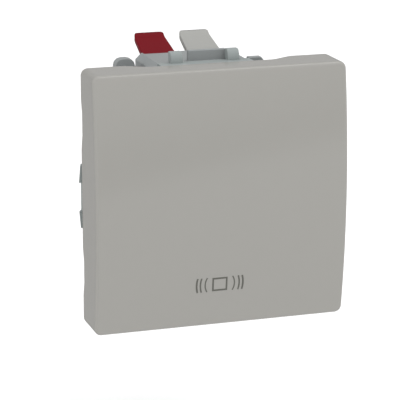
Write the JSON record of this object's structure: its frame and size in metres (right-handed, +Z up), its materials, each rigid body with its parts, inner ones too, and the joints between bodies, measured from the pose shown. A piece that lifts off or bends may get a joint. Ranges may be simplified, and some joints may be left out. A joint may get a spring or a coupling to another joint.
{
  "type": "rfid card reader",
  "caption": "Square snap-in contactless card reader insert: curved front cover, carrier with snap teeth, rear housing and lever-released push-in wire terminals.",
  "frame": {"origin": "middle of the seat plane, through the rear faces of the four corner pads, which rest on the wall frame", "axes": "+X to the right seen from the front, +Y back into the wall, +Z up"},
  "size_m": [0.0456, 0.033, 0.0478],
  "materials": {
    "cover_plastic": "satin-gloss warm grey moulded plastic",
    "grey_plastic": "cool grey moulded plastic, fine matt grain",
    "red_plastic": "deep red moulded plastic",
    "light_plastic": "light warm grey moulded plastic",
    "board_laminate": "green solder-masked laminate",
    "copper": "bright copper",
    "spring_steel": "rolled spring steel",
    "chip_plastic": "black moulded epoxy",
    "yellow_plastic": "yellow potted plastic case",
    "blue_plastic": "blue moulded plastic",
    "black_plastic": "black plastic",
    "ferrite": "dark grey sintered ferrite",
    "clear_plastic": "milky clear plastic"
  },
  "bodies": {
    "root": {"front_cover": "cover_plastic", "carrier": "grey_plastic", "rear_housing": "grey_plastic", "antenna_board": "board_laminate", "antenna_coil": "copper", "reader_chip": "chip_plastic", "status_led": "clear_plastic", "board_header": "black_plastic", "power_board": "board_laminate", "control_chip": "chip_plastic", "supply_capacitor": "yellow_plastic", "smoothing_capacitor": "black_plastic", "input_fuse": "black_plastic", "surge_varistor": "blue_plastic", "transformer_core": "ferrite", "transformer_winding": "copper", "relay_base": "black_plastic", "relay_case": "blue_plastic", "relay_coil": "copper", "relay_yoke": "spring_steel", "relay_fixed_contact": "copper", "clamp_spring_live": "spring_steel", "contact_bar_live": "copper", "clamp_spring_neutral": "spring_steel", "contact_bar_neutral": "copper", "clamp_spring_load_a": "spring_steel", "contact_bar_load_a": "copper", "clamp_spring_load_b": "spring_steel", "contact_bar_load_b": "copper"},
    "lever_live": {"release_lever_live": "red_plastic"},
    "blade_live": {"clamp_blade_live": "spring_steel"},
    "lever_neutral": {"release_lever_neutral": "light_plastic"},
    "blade_neutral": {"clamp_blade_neutral": "spring_steel"},
    "lever_load_a": {"release_lever_load_a": "light_plastic"},
    "blade_load_a": {"clamp_blade_load_a": "spring_steel"},
    "lever_load_b": {"release_lever_load_b": "light_plastic"},
    "blade_load_b": {"clamp_blade_load_b": "spring_steel"},
    "armature": {"relay_armature": "spring_steel", "relay_moving_contact": "copper"}
  },
  "joints": [
    {"name": "press_lever_live", "type": "hinge", "parent": "root", "child": "lever_live", "pos_m": [-0.0042, 0.0088, 0.0192], "axis": [-1, 0, 0], "range_deg": [0, 20], "stiffness_Nm_per_rad": 0.05, "springref_deg": -8.59},
    {"name": "open_clamp_live", "type": "hinge", "parent": "root", "child": "blade_live", "pos_m": [-0.0042, 0.0057, 0.0193], "axis": [-1, 0, 0], "range_deg": [0, 19]},
    {"name": "press_lever_neutral", "type": "hinge", "parent": "root", "child": "lever_neutral", "pos_m": [0.0042, 0.0088, 0.0192], "axis": [-1, 0, 0], "range_deg": [0, 20], "stiffness_Nm_per_rad": 0.05, "springref_deg": -8.59},
    {"name": "open_clamp_neutral", "type": "hinge", "parent": "root", "child": "blade_neutral", "pos_m": [0.0042, 0.0057, 0.0193], "axis": [-1, 0, 0], "range_deg": [0, 19]},
    {"name": "press_lever_load_a", "type": "hinge", "parent": "root", "child": "lever_load_a", "pos_m": [-0.0042, 0.0088, -0.0192], "axis": [1, 0, 0], "range_deg": [0, 20], "stiffness_Nm_per_rad": 0.05, "springref_deg": -8.59},
    {"name": "open_clamp_load_a", "type": "hinge", "parent": "root", "child": "blade_load_a", "pos_m": [-0.0042, 0.0057, -0.0193], "axis": [1, 0, 0], "range_deg": [0, 19]},
    {"name": "press_lever_load_b", "type": "hinge", "parent": "root", "child": "lever_load_b", "pos_m": [0.0042, 0.0088, -0.0192], "axis": [1, 0, 0], "range_deg": [0, 20], "stiffness_Nm_per_rad": 0.05, "springref_deg": -8.59},
    {"name": "open_clamp_load_b", "type": "hinge", "parent": "root", "child": "blade_load_b", "pos_m": [0.0042, 0.0057, -0.0193], "axis": [1, 0, 0], "range_deg": [0, 19]},
    {"name": "relay_armature_tilt", "type": "hinge", "parent": "root", "child": "armature", "pos_m": [-0.00985, 0.014, 0.0004], "axis": [-1, 0, 0], "range_deg": [0, 5], "stiffness_Nm_per_rad": 0.02, "springref_deg": -5.73}
  ],
  "couplings": [
    {"joint": "open_clamp_live", "follows": "press_lever_live", "ratio": 0.95},
    {"joint": "open_clamp_neutral", "follows": "press_lever_neutral", "ratio": 0.95},
    {"joint": "open_clamp_load_a", "follows": "press_lever_load_a", "ratio": 0.95},
    {"joint": "open_clamp_load_b", "follows": "press_lever_load_b", "ratio": 0.95}
  ]
}
